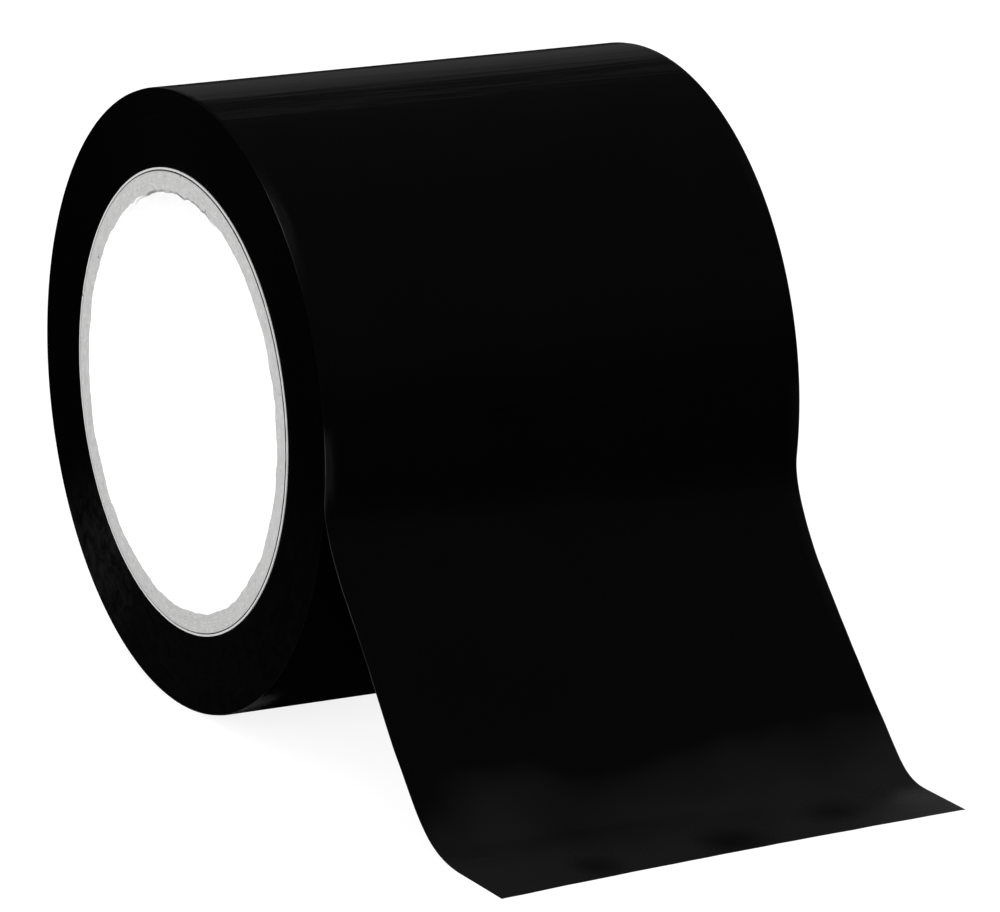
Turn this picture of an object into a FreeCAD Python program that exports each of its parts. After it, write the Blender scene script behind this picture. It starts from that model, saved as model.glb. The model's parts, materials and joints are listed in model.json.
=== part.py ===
import FreeCAD, Part
import os
import Sketcher

# A roll of adhesive tape standing on its edge, with its loose end pulled down and stuck to the
# ground in front of it. Millimetres and degrees.
#
# Frame: the origin is the centre of the core's bore at mid width. +Y runs along the roll's axis,
# +Z is up, and the loose end leaves the roll on the +X side. The roll and the foot of the loose end
# rest on the plane z = -(outside radius of the roll).
#
# The core is a spiral-wound paper tube: two white liners with six chipboard plies between them,
# each a strip with a butt seam that runs round it as a helix. The tape is one web of film with an
# adhesive coat on its inner side. It is divided into rigid panels where it peels and bends.

# ---------------------------------------------------------------- driving dimensions
DIMENSIONS = (
    ("roll_width", 96.0),  # slit width of the tape
    ("core_length", 96.3),  # the core stands a little proud of the tape at both ends
    ("bore_diameter", 76.2),  # 3 inch core
    ("liner_thickness", 0.35),
    ("ply_thickness", 0.61),
    ("ply_count", 6),
    ("glue_line", 0.02),  # glue between the layers of the core, and under the wound tape
    ("seam_gap", 0.3),  # width of the butt seam in each strip of the core
    ("seam_pitch", 109.0),  # advance of a seam along the core in one turn
    ("seam_step", 75.0),  # turn of each ply's seam from the one below
    ("film_thickness", 0.09),
    ("adhesive_thickness", 0.04),
    ("wound_turns", 110),  # turns under the outermost one
    ("peel_angle", -5.0),  # where the loose end leaves the roll, up from +X
    ("peel_arc_sweep", 30.0),  # each of the three panels that can peel off
    ("lap_gap", 3.0),  # part of the outermost turn left out under the peel line
    ("hinge_gap", 0.1),  # clearance between two panels of the web
    ("first_bend_radius", 12.0),  # sharp bend of the film where it lifts off
    ("first_bend_sweep", 28.0),
    ("second_bend_radius", 38.0),  # slack bend that follows it
    ("second_bend_sweep", 21.0),
    ("foot_bend_radius", 20.0),  # bend that lays the loose end flat on the ground
    ("upper_slope_share", 0.46),  # share of the straight slope above its hinge
    ("foot_length", 12.0),  # flat foot, at mid width
    ("foot_skew", 6.5),  # how much longer the foot is at y < 0
)

doc = FreeCAD.newDocument("tape_roll")
sheet = doc.addObject("Spreadsheet::Sheet", "dims")
for row, (alias, value) in enumerate(DIMENSIONS, start=1):
    sheet.set(f"A{row}", alias)
    sheet.set(f"B{row}", str(value))
    sheet.setAlias(f"B{row}", alias)
doc.recompute()

# Sizes worked out from the sheet, as expressions.
WIDTH = "dims.roll_width"
CORE_LENGTH = "dims.core_length"
WEB = "(dims.film_thickness + dims.adhesive_thickness)"
CORE_LAYER = "(dims.ply_thickness + dims.glue_line)"
CORE_RADIUS = (
    "(dims.bore_diameter / 2 + 2 * dims.liner_thickness + dims.glue_line"
    f" + dims.ply_count * {CORE_LAYER})"
)
WOUND_INNER = f"({CORE_RADIUS} + dims.glue_line)"
WOUND_OUTER = f"({WOUND_INNER} + dims.wound_turns * {WEB})"
ROLL_RADIUS = f"({WOUND_OUTER} + dims.glue_line + {WEB})"
PEEL_PANELS = ("upper", "middle", "lower")
PEELING_SWEEP = f"({len(PEEL_PANELS)} * dims.peel_arc_sweep)"

# The slope's heading, and its length for the foot to land on the ground.
FIRST_HEADING = "(dims.peel_angle - 90)"
SECOND_HEADING = f"({FIRST_HEADING} + dims.first_bend_sweep)"
SLOPE_HEADING = f"({SECOND_HEADING} + dims.second_bend_sweep)"
FOOT_BEND_SWEEP = f"(-{SLOPE_HEADING})"
DROP_TO_SLOPE = (
    f"({ROLL_RADIUS} * (1 + sin(dims.peel_angle * 1 deg)) - {WEB}"
    f" + dims.first_bend_radius * (cos({FIRST_HEADING} * 1 deg) - cos({SECOND_HEADING} * 1 deg))"
    f" + dims.second_bend_radius * (cos({SECOND_HEADING} * 1 deg) - cos({SLOPE_HEADING} * 1 deg)))"
)
SLOPE_LENGTH = (
    f"(({DROP_TO_SLOPE} - dims.foot_bend_radius * (1 - cos({SLOPE_HEADING} * 1 deg)))"
    f" / sin({FOOT_BEND_SWEEP} * 1 deg))"
)
UPPER_SLOPE = f"({SLOPE_LENGTH} * dims.upper_slope_share)"
LOWER_SLOPE = f"({SLOPE_LENGTH} * (1 - dims.upper_slope_share))"

# The web's two layers: name, depth of the outer face under the film's surface, thickness.
LAYERS = (
    ("film", "0", "dims.film_thickness"),
    ("adhesive", "dims.film_thickness", "dims.adhesive_thickness"),
)

subparts = {}


# ---------------------------------------------------------------- sketch helpers
def new_body(name):
    """A body, with its origin's planes and axes by role."""
    body = doc.addObject("PartDesign::Body", name)
    roles = {feature.Role: feature for feature in body.Origin.OriginFeatures}
    return body, roles


def sketch_on(body, plane, name):
    """An empty sketch on one of the body's own origin planes."""
    sketch = body.newObject("Sketcher::SketchObject", name)
    sketch.AttachmentSupport = [(plane, "")]
    sketch.MapMode = "FlatFace"
    return sketch


def outline(sketch, corners):
    """A closed outline of straight lines, each joined to the next."""
    points = [FreeCAD.Vector(across, along, 0) for across, along in corners]
    for first, second in zip(points, points[1:] + points[:1]):
        sketch.addGeometry(Part.LineSegment(first, second), False)
    for line in range(len(points)):
        following = (line + 1) % len(points)
        sketch.addConstraint(Sketcher.Constraint("Coincident", line, 2, following, 1))


def dimension(sketch, name, kind, places, expression):
    """A named dimension of the sketch, bound to the sheet."""
    start = sketch.getPoint(*places[:2])
    end = sketch.getPoint(*places[2:])
    size = (end - start).x if kind == "DistanceX" else (end - start).y
    index = sketch.addConstraint(Sketcher.Constraint(kind, *places, size))
    sketch.renameConstraint(index, name)
    sketch.setExpression(f"Constraints.{name}", expression)


# ---------------------------------------------------------------- rings and arcs
H_AXIS, V_AXIS, ORIGIN_POINT = -1, -2, (-1, 1)

# Where the corners of a new outline start. Its dimensions then move them; only their order counts.
ROUGH_INNER, ROUGH_OUTER = 10, 11
ROUGH_HALF = 10
ROUGH_START, ROUGH_END = -20, -19

SEAM_RUN_PAST = 3  # turns of the seam's cut beyond the length of the tube
SEAM_MOST_CUT = 0.02  # a seam takes less than this share of its strip


def ring(name, inner, thickness, sweep="360", clockwise=True, width=WIDTH):
    """A band, as wide as the tape unless told otherwise, turned about Y from the direction +X."""
    body, roles = new_body(name)
    section = sketch_on(body, roles["XY_Plane"], f"{name}_section")
    outline(
        section,
        (
            (ROUGH_INNER, -ROUGH_HALF),
            (ROUGH_OUTER, -ROUGH_HALF),
            (ROUGH_OUTER, ROUGH_HALF),
            (ROUGH_INNER, ROUGH_HALF),
        ),
    )
    for line in (0, 2):
        section.addConstraint(Sketcher.Constraint("Horizontal", line))
    section.addConstraint(Sketcher.Constraint("Vertical", 3))
    section.addConstraint(Sketcher.Constraint("Symmetric", 0, 2, 1, 2, H_AXIS))
    dimension(section, "inner", "DistanceX", (*ORIGIN_POINT, 0, 1), inner)
    dimension(section, "thickness", "DistanceX", (0, 1, 0, 2), thickness)
    dimension(section, "width", "DistanceY", (1, 1, 1, 2), width)
    turned = body.newObject("PartDesign::Revolution", f"{name}_turned")
    turned.Profile = section
    turned.ReferenceAxis = (section, ["V_Axis"])
    turned.Reversed = not clockwise
    turned.setExpression("Angle", sweep)
    return body


def cut_seam(body, inner, thickness, turns_before):
    """Cuts the butt seam of a spiral-wound strip, which runs past both ends of the tube."""
    roles = {feature.Role: feature for feature in body.Origin.OriginFeatures}
    doc.recompute()
    whole = body.Shape.Volume
    section = sketch_on(body, roles["XY_Plane"], f"{body.Name}_seam_section")
    outline(
        section,
        (
            (ROUGH_INNER, ROUGH_START),
            (ROUGH_OUTER, ROUGH_START),
            (ROUGH_OUTER, ROUGH_END),
            (ROUGH_INNER, ROUGH_END),
        ),
    )
    for line in (0, 2):
        section.addConstraint(Sketcher.Constraint("Horizontal", line))
    for line in (1, 3):
        section.addConstraint(Sketcher.Constraint("Vertical", line))
    beyond = "dims.seam_gap"  # how far the cut runs past the strip's two faces
    start = f"({CORE_LENGTH} / 2 + dims.seam_pitch * (1 + {turns_before} - floor({turns_before})))"
    dimension(section, "inner", "DistanceX", (*ORIGIN_POINT, 0, 1), f"{inner} - {beyond}")
    dimension(section, "depth", "DistanceX", (0, 1, 0, 2), f"{thickness} + 2 * {beyond}")
    dimension(section, "gap", "DistanceY", (1, 1, 1, 2), "dims.seam_gap")
    dimension(section, "start", "DistanceY", (0, 1, *ORIGIN_POINT), start)
    seam = body.newObject("PartDesign::SubtractiveHelix", f"{body.Name}_seam")
    seam.Profile = section
    seam.ReferenceAxis = (section, ["V_Axis"])
    seam.Mode = 0
    seam.setExpression("Pitch", "dims.seam_pitch")
    seam.setExpression("Height", f"{CORE_LENGTH} + {SEAM_RUN_PAST} * dims.seam_pitch")
    doc.recompute()
    if not 0 < whole - body.Shape.Volume < SEAM_MOST_CUT * whole:
        raise SystemExit(f"{body.Name}: the seam cut the wrong amount")


def core_layer(name, inner, thickness, number):
    """One strip of the core, with its seam turned on from the seam below it."""
    body = ring(name, inner, thickness, width=CORE_LENGTH)
    cut_seam(body, inner, thickness, f"({number} * dims.seam_step / 360)")
    subparts[name] = body


# ---------------------------------------------------------------- the web
def place(expression, along, normal, pitch="0"):
    """A frame moved along its own heading (+X) and normal (+Z), then turned about Y."""
    return f"{expression} * placement(vector({along}; 0; {normal}); rotation(0; {pitch}; 0))"


def turned_frame(pitch):
    """A frame at the roll's axis, turned about Y."""
    return f"placement(vector(0; 0; 0); rotation(0; {pitch}; 0))"


class Web:
    """Follows the film's surface. The frame's +X is the heading and +Z the film's own side.

    A bend to the left turns towards the film's side, and a bend to the right away from it.
    """

    def __init__(self, frame):
        self.frame = frame
        self.pieces = {layer: [] for layer, _, _ in LAYERS}

    def bend(self, radius, sweep, left):
        """An arc of both layers, of this radius at the film's surface."""
        centre = radius if left else f"-{radius}"
        start_pitch = "90" if left else "-90"
        for layer, depth, thickness in LAYERS:
            name = f"{layer}_bend_{len(doc.Objects)}"
            inner = f"{radius} + {depth}" if left else f"{radius} - {depth} - {thickness}"
            body = ring(name, inner, thickness, sweep, clockwise=not left)
            body.setExpression("Placement", place(self.frame, "0", centre, start_pitch))
            self.pieces[layer].append(body)
        self.turn(radius, sweep, left)

    def turn(self, radius, sweep, left):
        """Moves on round an arc without building it."""
        if left:
            self.frame = place(place(self.frame, "0", radius, f"-{sweep}"), "0", f"-{radius}")
        else:
            self.frame = place(place(self.frame, "0", f"-{radius}", sweep), "0", radius)

    def straight(self, length, skew="0"):
        """A flat stretch of both layers, longer at y < 0 and shorter at y > 0 by half the skew."""
        for layer, depth, thickness in LAYERS:
            body, roles = new_body(f"{layer}_flat_{len(doc.Objects)}")
            plan = sketch_on(body, roles["XY_Plane"], f"{body.Name}_plan")
            outline(
                plan,
                (
                    (0, -ROUGH_HALF),
                    (ROUGH_INNER, -ROUGH_HALF),
                    (ROUGH_INNER, ROUGH_HALF),
                    (0, ROUGH_HALF),
                ),
            )
            for line in (0, 2):
                plan.addConstraint(Sketcher.Constraint("Horizontal", line))
            plan.addConstraint(Sketcher.Constraint("PointOnObject", 0, 1, V_AXIS))
            plan.addConstraint(Sketcher.Constraint("Symmetric", 0, 1, 2, 2, H_AXIS))
            dimension(plan, "near", "DistanceX", (0, 1, 0, 2), f"{length} + {skew} / 2")
            dimension(plan, "far", "DistanceX", (2, 2, 2, 1), f"{length} - {skew} / 2")
            dimension(plan, "width", "DistanceY", (0, 1, 2, 2), WIDTH)
            pad = body.newObject("PartDesign::Pad", f"{body.Name}_pad")
            pad.Profile = plan
            pad.Reversed = True
            pad.setExpression("Length", thickness)
            body.setExpression("Placement", place(self.frame, "0", f"-{depth}"))
            self.pieces[layer].append(body)
        self.frame = place(self.frame, length, "0")

    def gap(self):
        """Half of the clearance at a hinge."""
        self.frame = place(self.frame, "dims.hinge_gap / 2", "0")

    def panel(self, name):
        """Ends a rigid panel: each layer's pieces become one sub-part."""
        for layer, pieces in self.pieces.items():
            whole = pieces[0]
            if len(pieces) > 1:
                whole = doc.addObject("Part::MultiFuse", f"{name}_{layer}_whole")
                whole.Shapes = pieces
                whole.Refine = True
            subparts[f"{name}_{layer}"] = whole
            pieces[:] = []


# ---------------------------------------------------------------- core
BORE_RADIUS = "dims.bore_diameter / 2"
core_layer("core_inner_liner", BORE_RADIUS, "dims.liner_thickness", 0)
ply_total = int(sheet.ply_count)
for number in range(1, ply_total + 1):
    below = f"{BORE_RADIUS} + dims.liner_thickness + dims.glue_line + {number - 1} * {CORE_LAYER}"
    core_layer(f"core_ply_{number}", below, "dims.ply_thickness", number)
core_layer(
    "core_outer_liner",
    f"{CORE_RADIUS} - dims.liner_thickness",
    "dims.liner_thickness",
    ply_total + 1,
)

# ---------------------------------------------------------------- wound tape
subparts["wound_tape"] = ring("wound_tape_ring", WOUND_INNER, f"dims.wound_turns * {WEB}")

# The outermost turn, from the top of the peeling panels round to just under the peel line. Its
# frame starts at its far end and heads back up to the peeling panels.
GAP_ANGLE = f"(dims.hinge_gap / {ROLL_RADIUS} * 180 / pi)"
outer_start = "(90 - dims.peel_angle + dims.lap_gap)"
outer_turn = Web(place(turned_frame(outer_start), "0", ROLL_RADIUS))
outer_sweep = f"(360 - {PEELING_SWEEP} - dims.lap_gap - {GAP_ANGLE} / 2)"
outer_turn.bend(ROLL_RADIUS, outer_sweep, left=False)
outer_turn.panel("outer_turn")

# ---------------------------------------------------------------- peeling panels
top_of_peel = f"(90 - dims.peel_angle - {PEELING_SWEEP})"
web = Web(place(turned_frame(top_of_peel), "0", ROLL_RADIUS))
for which in PEEL_PANELS:
    web.turn(ROLL_RADIUS, f"({GAP_ANGLE} / 2)", left=False)
    web.bend(ROLL_RADIUS, f"(dims.peel_arc_sweep - {GAP_ANGLE})", left=False)
    web.turn(ROLL_RADIUS, f"({GAP_ANGLE} / 2)", left=False)
    web.panel(f"peel_{which}")

# ---------------------------------------------------------------- loose end
START_GAP = "(dims.hinge_gap / 2 / dims.first_bend_radius * 180 / pi)"
web.turn("dims.first_bend_radius", START_GAP, left=True)
web.bend("dims.first_bend_radius", f"(dims.first_bend_sweep - {START_GAP})", left=True)
web.bend("dims.second_bend_radius", "dims.second_bend_sweep", left=True)
web.straight(f"({UPPER_SLOPE} - dims.hinge_gap / 2)")
web.gap()
web.panel("tail_upper")

web.gap()
web.straight(f"({LOWER_SLOPE} - dims.hinge_gap)")
web.gap()
web.panel("tail_lower")

END_GAP = "(dims.hinge_gap / 2 / dims.foot_bend_radius * 180 / pi)"
web.turn("dims.foot_bend_radius", END_GAP, left=True)
web.bend("dims.foot_bend_radius", f"({FOOT_BEND_SWEEP} - {END_GAP})", left=True)
web.straight("dims.foot_length", skew="dims.foot_skew")
web.panel("tail_foot")

# ---------------------------------------------------------------- check and write
doc.recompute()
for item in doc.Objects:
    if "Invalid" in item.State or "Error" in item.State:
        raise SystemExit(f"{item.Name} failed: {item.State}")

os.makedirs("parts", exist_ok=True)
for node, item in subparts.items():
    item.Label = node
    shape = item.Shape
    if shape.isNull() or not shape.isValid() or len(shape.Solids) != 1:
        raise SystemExit(f"{node} isn't one valid solid")
    shape.exportStep(f"parts/{node}.step")
    box = shape.BoundBox
    print(
        f"{node}: {shape.Volume:.1f} mm3, x {box.XMin:.2f} to {box.XMax:.2f},"
        f" y {box.YMin:.2f} to {box.YMax:.2f}, z {box.ZMin:.2f} to {box.ZMax:.2f}"
    )
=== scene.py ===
import json
import math

import bpy
import numpy as np
from mathutils import Matrix, Vector


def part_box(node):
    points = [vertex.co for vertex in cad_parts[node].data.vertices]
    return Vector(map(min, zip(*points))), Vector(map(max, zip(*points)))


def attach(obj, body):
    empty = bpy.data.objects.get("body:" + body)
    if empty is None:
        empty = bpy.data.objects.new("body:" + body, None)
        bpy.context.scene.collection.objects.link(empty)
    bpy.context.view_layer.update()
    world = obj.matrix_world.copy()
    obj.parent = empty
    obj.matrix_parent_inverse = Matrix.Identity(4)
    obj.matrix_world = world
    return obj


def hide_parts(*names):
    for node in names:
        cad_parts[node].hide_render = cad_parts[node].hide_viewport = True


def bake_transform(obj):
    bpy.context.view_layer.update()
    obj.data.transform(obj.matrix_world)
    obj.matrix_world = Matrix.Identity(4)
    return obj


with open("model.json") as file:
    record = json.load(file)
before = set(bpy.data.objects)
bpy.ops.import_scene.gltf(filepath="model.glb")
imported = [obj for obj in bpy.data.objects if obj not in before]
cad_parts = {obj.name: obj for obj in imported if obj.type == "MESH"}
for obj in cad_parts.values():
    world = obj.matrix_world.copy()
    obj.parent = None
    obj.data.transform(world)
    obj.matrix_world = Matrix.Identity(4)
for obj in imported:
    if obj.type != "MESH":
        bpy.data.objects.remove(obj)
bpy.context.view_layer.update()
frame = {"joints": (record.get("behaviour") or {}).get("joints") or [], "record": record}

MM = 0.001

# ---------------------------------------------------------------- sizes from the frame
mounts = {mount["name"]: mount for mount in frame["record"]["mounts"]}
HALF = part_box("wound_tape")[1].y
CORE_HALF = mounts["core_bore"]["dims"]["length_mm"] * MM / 2
BORE_R = mounts["core_bore"]["dims"]["r_mm"] * MM
ROLL_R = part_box("outer_turn_film")[1].z
WOUND_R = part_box("wound_tape")[1].z
CORE_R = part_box("core_outer_liner")[1].z
FLOOR_Z = mounts["foot_underside"]["pos_m"][2]
FILM_T = 0.09 * MM
GLUE_T = 0.04 * MM
WEB_T = FILM_T + GLUE_T
GLUE_LINE = 0.01 * MM  # between the strips of the core, and under the tape
EDGE_DROP = 0.09 * MM  # how far the web's slit edges curl under
EDGE_WIDTH = 0.55 * MM  # over this width
hinges = {joint["child"]: Vector(joint["pos_m"]) for joint in frame["joints"]}


def hinge_angle(child):
    """Where a panel's hinge lies round the roll, in degrees up from +X."""
    return math.degrees(math.atan2(hinges[child].z, hinges[child].x))


# ---------------------------------------------------------------- smooth noise
class Waves:
    """A smooth random function: a seeded sum of plane waves, of about unit size."""

    def __init__(self, seed, sizes, count=24):
        draw = np.random.RandomState(seed)
        span = len(sizes)
        turn = draw.normal(size=(count, span))
        turn /= np.linalg.norm(turn, axis=1)[:, None]
        self.pull = turn * draw.uniform(0.5, 1.5, count)[:, None] * 2 * np.pi / np.array(sizes)
        self.phase = draw.uniform(0, 2 * np.pi, count)
        self.scale = math.sqrt(2.0 / count)

    def __call__(self, *places):
        total = 0.0
        for pull, phase in zip(self.pull, self.phase):
            total = total + np.cos(sum(k * p for k, p in zip(pull, places)) + phase)
        return total * self.scale


def smooth(t):
    """0 to 1 with level ends."""
    t = np.clip(t, 0, 1)
    return t * t * (3 - 2 * t)


# ---------------------------------------------------------------- meshes
def make_object(name, points, faces, material, web=None, sharp_angle=50):
    """A mesh object, smooth shaded but for its hard edges."""
    mesh = bpy.data.meshes.new(name)
    mesh.from_pydata(points.tolist(), [], faces)
    mesh.validate()
    if web is not None:
        attribute = mesh.attributes.new("web", "FLOAT_VECTOR", "POINT")
        attribute.data.foreach_set("vector", web.astype(np.float32).ravel())
    mesh.materials.append(material)
    mesh.shade_smooth()
    mesh.set_sharp_from_angle(angle=math.radians(sharp_angle))
    obj = bpy.data.objects.new(name, mesh)
    bpy.context.scene.collection.objects.link(obj)
    return obj


def sheet_solid(top, bottom):
    """Points and faces of a closed sheet between two grids of points of the same shape."""
    rows, columns = top.shape[:2]
    points = np.concatenate([top.reshape(-1, 3), bottom.reshape(-1, 3)])
    index = np.arange(rows * columns).reshape(rows, columns)
    under = index + rows * columns
    quads = []

    def add(a, b, c, d):
        quads.append(np.stack([a.ravel(), b.ravel(), c.ravel(), d.ravel()], 1))

    add(index[:-1, :-1], index[1:, :-1], index[1:, 1:], index[:-1, 1:])
    add(under[:-1, :-1], under[:-1, 1:], under[1:, 1:], under[1:, :-1])
    add(index[:-1, 0], under[:-1, 0], under[1:, 0], index[1:, 0])
    add(index[:-1, -1], index[1:, -1], under[1:, -1], under[:-1, -1])
    add(index[0, :-1], index[0, 1:], under[0, 1:], under[0, :-1])
    add(index[-1, :-1], under[-1, :-1], under[-1, 1:], index[-1, 1:])
    return points, np.concatenate(quads).tolist()


# ---------------------------------------------------------------- materials
class Nodes:
    """Short ways to build the nodes of a material, or of the world."""

    def __init__(self, owner):
        owner.use_nodes = True
        self.tree = owner.node_tree
        self.shader = self.tree.nodes.get("Principled BSDF")

    def put(self, socket, value):
        """Joins a socket to another one, or sets it to a plain value."""
        if isinstance(value, bpy.types.NodeSocket):
            self.tree.links.new(value, socket)
        else:
            socket.default_value = value

    def add(self, kind, **inputs):
        """A node with these inputs; an underscore stands for a space in an input's name."""
        node = self.tree.nodes.new(kind)
        for key, value in inputs.items():
            self.put(node.inputs[key.replace("_", " ")], value)
        return node

    def place(self):
        return self.add("ShaderNodeTexCoord").outputs["Object"]

    def web(self):
        """The place along the web, the place across it and the distance to its cut end."""
        node = self.add("ShaderNodeAttribute")
        node.attribute_name = "web"
        return node.outputs["Vector"]

    def stretch(self, vector, scale):
        """The vector times this scale, which for a noise is its grains per metre each way."""
        node = self.add("ShaderNodeMapping")
        self.put(node.inputs["Vector"], vector)
        node.inputs["Scale"].default_value = scale
        return node.outputs["Vector"]

    def noise(self, vector, scale, detail=3.0, rough=0.5, distortion=0.0):
        node = self.add(
            "ShaderNodeTexNoise", Vector=vector, Scale=scale, Detail=detail, Roughness=rough
        )
        node.inputs["Distortion"].default_value = distortion
        return node.outputs["Fac"]

    def ramp(self, value, stops):
        """A grey that runs straight from stop to stop: pairs of a value and a level."""
        node = self.add("ShaderNodeValToRGB", Fac=value)
        elements = node.color_ramp.elements
        while len(elements) < len(stops):
            elements.new(0.5)
        for element, (place, level) in zip(elements, stops):
            element.position = place
            element.color = grey(level)
        return node.outputs["Color"]

    def grade(self, value, low, high, to_low, to_high, eased=False):
        """The value with low..high spread over to_low..to_high, and held beyond them."""
        node = self.add("ShaderNodeMapRange", Value=value)
        node.interpolation_type = "SMOOTHSTEP" if eased else "LINEAR"
        node.inputs["From Min"].default_value = low
        node.inputs["From Max"].default_value = high
        node.inputs["To Min"].default_value = to_low
        node.inputs["To Max"].default_value = to_high
        return node.outputs["Result"]

    def math(self, operation, a, b=0.0):
        node = self.tree.nodes.new("ShaderNodeMath")
        node.operation = operation
        self.put(node.inputs[0], a)
        self.put(node.inputs[1], b)
        return node.outputs[0]

    def product(self, first, *rest):
        for value in rest:
            first = self.math("MULTIPLY", first, value)
        return first

    def length(self, a, b):
        """The length of the line that goes a one way and b square to it."""
        squares = self.math("ADD", self.math("MULTIPLY", a, a), self.math("MULTIPLY", b, b))
        return self.math("SQRT", squares)

    def mix(self, factor, a, b):
        """From colour a to colour b; the numbers are the mix node's colour sockets."""
        node = self.tree.nodes.new("ShaderNodeMix")
        node.data_type = "RGBA"
        self.put(node.inputs[0], factor)
        self.put(node.inputs[6], a)
        self.put(node.inputs[7], b)
        return node.outputs[2]

    def bump(self, height, strength, distance, normal=None):
        node = self.add("ShaderNodeBump", Height=height, Strength=strength, Distance=distance)
        if normal is not None:
            self.put(node.inputs["Normal"], normal)
        return node.outputs["Normal"]

    def round_the_roll(self):
        """The distance from the roll's axis, the angle round it and the place along it."""
        parts = self.add("ShaderNodeSeparateXYZ", Vector=self.place())
        radius = self.length(parts.outputs["X"], parts.outputs["Z"])
        angle = self.math("ARCTAN2", parts.outputs["Z"], parts.outputs["X"])
        return radius, angle, parts.outputs["Y"]

    def combine(self, x, y, z):
        return self.add("ShaderNodeCombineXYZ", X=x, Y=y, Z=z).outputs["Vector"]


def grey(level, blue=None):
    """An opaque grey, with its own amount of blue where that differs."""
    return (level, level, level if blue is None else blue, 1)


FILM_DARK = grey(0.0003, 0.00033)
FILM_PALE = grey(0.00045, 0.0005)
# painted sheen on the film near its cut end, and a stronger one at its far corner
PAINTED_SHEEN = grey(0.0076, 0.0078)
PAINTED_SHEEN_CORNER = grey(0.0150, 0.0153)
# painted sheen beside the slit edges, a painted reflection patch, and painted glints on the cut edges
PAINTED_EDGE_SHEEN = grey(0.0090, 0.0093)
PAINTED_REFLECTION = grey(0.040, 0.041)
PAINTED_GLINT = grey(0.085, 0.088)
# How strong the painted highlights at the slit edges are along the web: shares of this span from the
# top of the peeling panels.
EDGE_HIGHLIGHT_SPAN = 160 * MM
EDGE_HIGHLIGHTS = (
    (0.000, 0.00),
    (0.145, 0.00),
    (0.185, 0.25),
    (0.205, 0.60),
    (0.222, 1.00),
    (0.240, 0.80),
    (0.270, 0.40),
    (0.330, 0.00),
    (0.470, 0.00),
    (0.500, 0.80),
    (0.555, 0.65),
    (0.580, 0.15),
    (0.640, 0.80),
    (0.760, 0.80),
    (0.800, 0.10),
)
EDGE_SHEEN_STOP = (88 * MM, 92 * MM)  # where along the web the painted sheen beside its near edge stops
REFLECTION_PATCH_AT = -212 * MM  # where along the web the painted reflection patch on the near edge of the outer turn sits
# How rough the web is near its cut end, and how strong the painted sheen there, by share of this
# distance from the cut end.
HAZE_AND_SHEEN_SPAN = 40 * MM
HAZE_AND_SHEEN_RAMP = ((0.08, 1.0), (0.25, 0.88), (0.45, 0.70), (0.85, 0.0))
# Darker spots in the painted sheen near the cut end: how far from the end, how far across the web, and
# the size.
SHEEN_GAPS = (
    (6.0 * MM, -25.5 * MM, 5.0 * MM),
    (5.5 * MM, 2.5 * MM, 5.5 * MM),
    (9.5 * MM, 27.0 * MM, 5.0 * MM),
)


def haze_and_painted_sheen(n, to_end, across_web, wander, blotch):
    """How rough the film is and how much painted sheen it carries: most near its cut end, and less at
    each of three darker spots.
    """
    near_end = n.math("DIVIDE", n.math("ADD", to_end, wander), HAZE_AND_SHEEN_SPAN)
    haze_and_sheen_amount = n.ramp(near_end, HAZE_AND_SHEEN_RAMP)
    for where_along, where_across, size in SHEEN_GAPS:
        apart_along = n.math("SUBTRACT", to_end, where_along)
        apart_across = n.math("SUBTRACT", across_web, where_across)
        apart = n.length(apart_along, apart_across)
        apart = n.math("ADD", apart, n.math("MULTIPLY", wander, 0.25))
        haze_and_sheen_amount = n.product(haze_and_sheen_amount, n.grade(apart, 0, 1.7 * size, 0.35, 1.0, True))
    more_near_side = n.grade(across_web, -HALF, 0.0, 1.25, 1.0)
    return n.product(haze_and_sheen_amount, more_near_side, n.grade(blotch, 0.3, 0.7, 0.8, 1.2))


def corner_sheen(n, to_end, across_web, wander):
    """A stronger painted sheen at the far corner of the cut end."""
    from_middle = n.math("ADD", across_web, n.math("MULTIPLY", wander, 0.5))
    at_side = n.grade(from_middle, 35 * MM, 45 * MM, 0, 1, True)
    return n.product(at_side, n.grade(to_end, 15 * MM, 8 * MM, 0.0, 1.0, True))


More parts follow.
